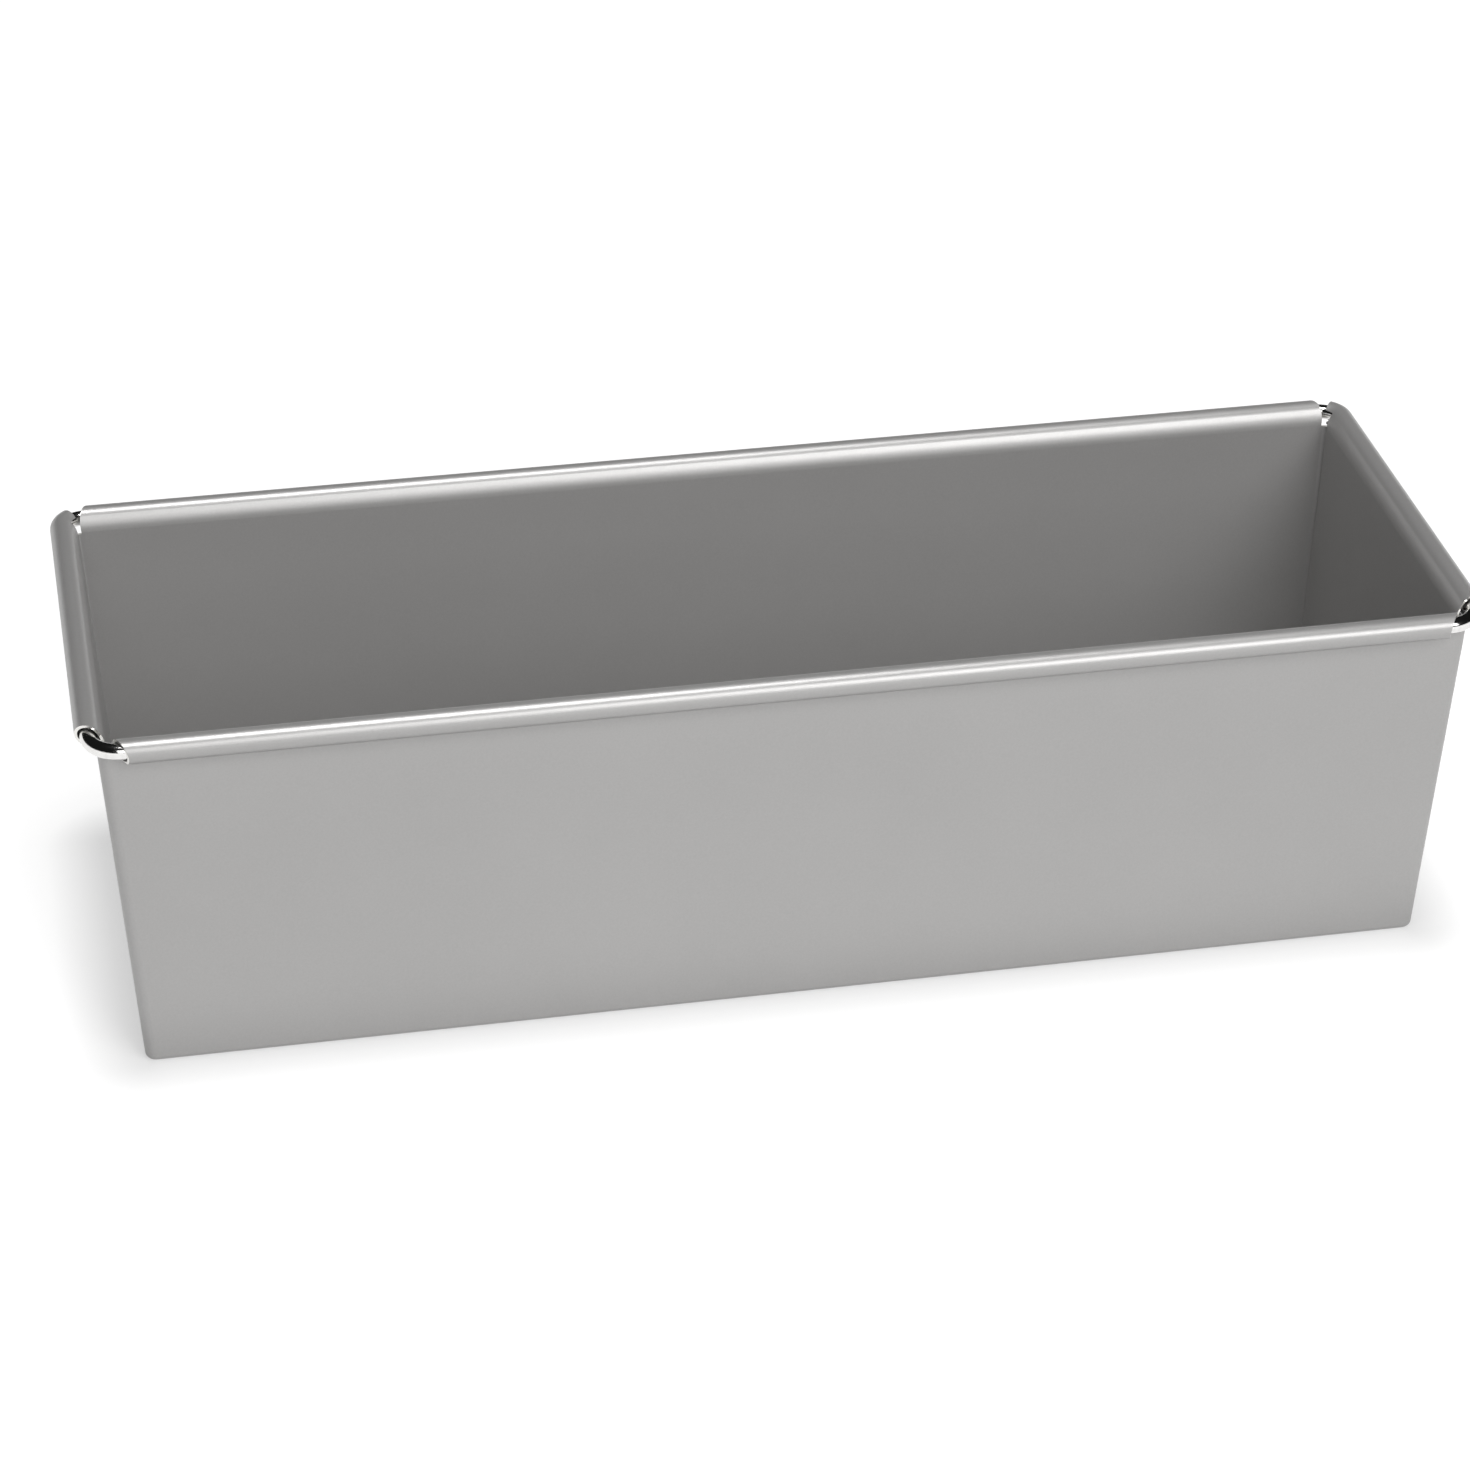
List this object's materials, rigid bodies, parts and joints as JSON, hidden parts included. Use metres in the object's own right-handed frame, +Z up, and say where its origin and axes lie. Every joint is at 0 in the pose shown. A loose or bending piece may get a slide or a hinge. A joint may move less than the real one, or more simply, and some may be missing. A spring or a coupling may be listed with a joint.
{
  "type": "loaf pan",
  "caption": "Long narrow baking pan folded from one steel sheet, with tapered walls, folded corner ears and a rolled rim over a round wire frame.",
  "frame": {"origin": "middle of the underside, on the surface that the pan stands on", "axes": "+X along the pan's length, +Y across it towards the rear, +Z up through the open top"},
  "size_m": [0.3, 0.109, 0.084],
  "materials": {
    "coated_sheet": "satin grey coating with a fine grain, bare bright steel at the cut edges",
    "bright_wire": "bright drawn wire"
  },
  "bodies": {
    "root": {"pan_body": "coated_sheet", "rim_wire": "bright_wire"}
  },
  "joints": []
}
